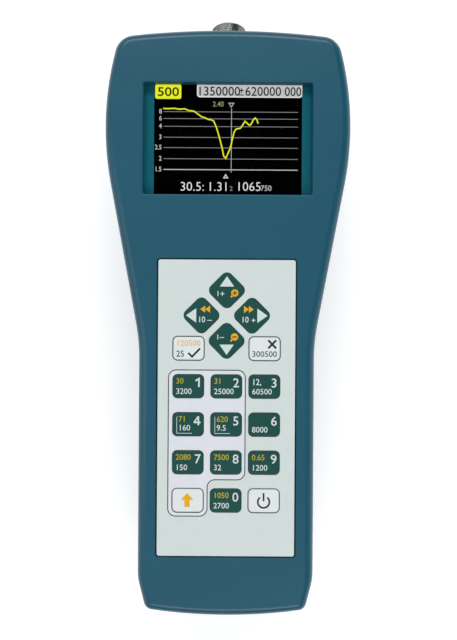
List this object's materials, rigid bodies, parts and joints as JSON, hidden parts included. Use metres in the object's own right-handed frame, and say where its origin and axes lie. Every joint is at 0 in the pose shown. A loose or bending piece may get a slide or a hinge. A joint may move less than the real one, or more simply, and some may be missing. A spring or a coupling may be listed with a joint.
{
  "type": "antenna analyzer",
  "caption": "Handheld antenna analyzer with a wide head holding a colour screen and threaded radio connector, a flat keypad with sprung keys on a narrower grip, and a sliding battery door.",
  "frame": {"origin": "centre of the bounding box's bottom face: the case lies on its back at z = 0", "axes": "+X to the right seen from the front, +Y along the case towards the antenna connector, +Z out of the screen and keypad"},
  "size_m": [0.108, 0.2674, 0.0501],
  "materials": {
    "case": "fine moulded grain, satin",
    "black_plastic": "moulded, satin",
    "white_plastic": "turned, smooth",
    "cell": "printed sleeve, satin",
    "nickel": "nickel plated, bright",
    "steel": "zinc plated",
    "tin": "tin plated sheet",
    "gold": "gold plated",
    "lead": "insulated wire",
    "ribbon": "polyimide film",
    "board": "glass-epoxy board with green mask",
    "window": "clear acrylic, polished",
    "border": "painted on the window's back",
    "screen": "colour screen, lit",
    "overlay": "printed film, fine matt texture",
    "spacer": "plain sheet",
    "key_dark": "printed film, fine matt texture",
    "key_pale": "printed film, fine matt texture"
  },
  "bodies": {
    "case": {"front_shell": "case", "rear_shell": "case", "battery_tray": "black_plastic", "cells": "cell", "contacts_plus": "nickel", "contacts_minus": "nickel", "battery_leads": "lead", "case_screws": "steel", "screen_window": "window", "screen_border": "border", "screen_panel": "screen", "screen_frame": "tin", "screen_ribbon": "ribbon", "keypad_overlay": "overlay", "keypad_spacer": "spacer", "keypad_circuit": "board", "keypad_domes": "steel", "keypad_tail": "ribbon", "main_board": "board", "board_chips": "black_plastic", "board_screws": "steel", "buzzer": "black_plastic", "usb_socket": "tin", "radio_board": "board", "radio_screws": "steel", "shield_can": "tin", "board_link": "black_plastic", "connector_body": "nickel", "connector_insulator": "white_plastic", "connector_contact": "gold", "connector_washer": "nickel", "connector_nut": "nickel"},
    "door": {"battery_door": "case"},
    "key_up": {"key_up": "key_dark"},
    "key_left": {"key_left": "key_dark"},
    "key_right": {"key_right": "key_dark"},
    "key_down": {"key_down": "key_dark"},
    "key_ok": {"key_ok": "key_pale"},
    "key_cancel": {"key_cancel": "key_pale"},
    "key_function": {"key_function": "key_pale"},
    "key_0": {"key_0": "key_dark"},
    "key_power": {"key_power": "key_pale"},
    "key_1": {"key_1": "key_dark"},
    "key_2": {"key_2": "key_dark"},
    "key_3": {"key_3": "key_dark"},
    "key_4": {"key_4": "key_dark"},
    "key_5": {"key_5": "key_dark"},
    "key_6": {"key_6": "key_dark"},
    "key_7": {"key_7": "key_dark"},
    "key_8": {"key_8": "key_dark"},
    "key_9": {"key_9": "key_dark"}
  },
  "joints": [
    {"name": "door_slide", "type": "slide", "parent": "case", "child": "door", "axis": [0, -1, 0], "range_m": [0, 0.076]},
    {"name": "key_up_press", "type": "slide", "parent": "case", "child": "key_up", "axis": [0, 0, -1], "range_m": [0, 0.0004], "stiffness_N_per_m": 3000},
    {"name": "key_left_press", "type": "slide", "parent": "case", "child": "key_left", "axis": [0, 0, -1], "range_m": [0, 0.0004], "stiffness_N_per_m": 3000},
    {"name": "key_right_press", "type": "slide", "parent": "case", "child": "key_right", "axis": [0, 0, -1], "range_m": [0, 0.0004], "stiffness_N_per_m": 3000},
    {"name": "key_down_press", "type": "slide", "parent": "case", "child": "key_down", "axis": [0, 0, -1], "range_m": [0, 0.0004], "stiffness_N_per_m": 3000},
    {"name": "key_ok_press", "type": "slide", "parent": "case", "child": "key_ok", "axis": [0, 0, -1], "range_m": [0, 0.0004], "stiffness_N_per_m": 3000},
    {"name": "key_cancel_press", "type": "slide", "parent": "case", "child": "key_cancel", "axis": [0, 0, -1], "range_m": [0, 0.0004], "stiffness_N_per_m": 3000},
    {"name": "key_function_press", "type": "slide", "parent": "case", "child": "key_function", "axis": [0, 0, -1], "range_m": [0, 0.0004], "stiffness_N_per_m": 3000},
    {"name": "key_0_press", "type": "slide", "parent": "case", "child": "key_0", "axis": [0, 0, -1], "range_m": [0, 0.0004], "stiffness_N_per_m": 3000},
    {"name": "key_power_press", "type": "slide", "parent": "case", "child": "key_power", "axis": [0, 0, -1], "range_m": [0, 0.0004], "stiffness_N_per_m": 3000},
    {"name": "key_1_press", "type": "slide", "parent": "case", "child": "key_1", "axis": [0, 0, -1], "range_m": [0, 0.0004], "stiffness_N_per_m": 3000},
    {"name": "key_2_press", "type": "slide", "parent": "case", "child": "key_2", "axis": [0, 0, -1], "range_m": [0, 0.0004], "stiffness_N_per_m": 3000},
    {"name": "key_3_press", "type": "slide", "parent": "case", "child": "key_3", "axis": [0, 0, -1], "range_m": [0, 0.0004], "stiffness_N_per_m": 3000},
    {"name": "key_4_press", "type": "slide", "parent": "case", "child": "key_4", "axis": [0, 0, -1], "range_m": [0, 0.0004], "stiffness_N_per_m": 3000},
    {"name": "key_5_press", "type": "slide", "parent": "case", "child": "key_5", "axis": [0, 0, -1], "range_m": [0, 0.0004], "stiffness_N_per_m": 3000},
    {"name": "key_6_press", "type": "slide", "parent": "case", "child": "key_6", "axis": [0, 0, -1], "range_m": [0, 0.0004], "stiffness_N_per_m": 3000},
    {"name": "key_7_press", "type": "slide", "parent": "case", "child": "key_7", "axis": [0, 0, -1], "range_m": [0, 0.0004], "stiffness_N_per_m": 3000},
    {"name": "key_8_press", "type": "slide", "parent": "case", "child": "key_8", "axis": [0, 0, -1], "range_m": [0, 0.0004], "stiffness_N_per_m": 3000},
    {"name": "key_9_press", "type": "slide", "parent": "case", "child": "key_9", "axis": [0, 0, -1], "range_m": [0, 0.0004], "stiffness_N_per_m": 3000}
  ]
}
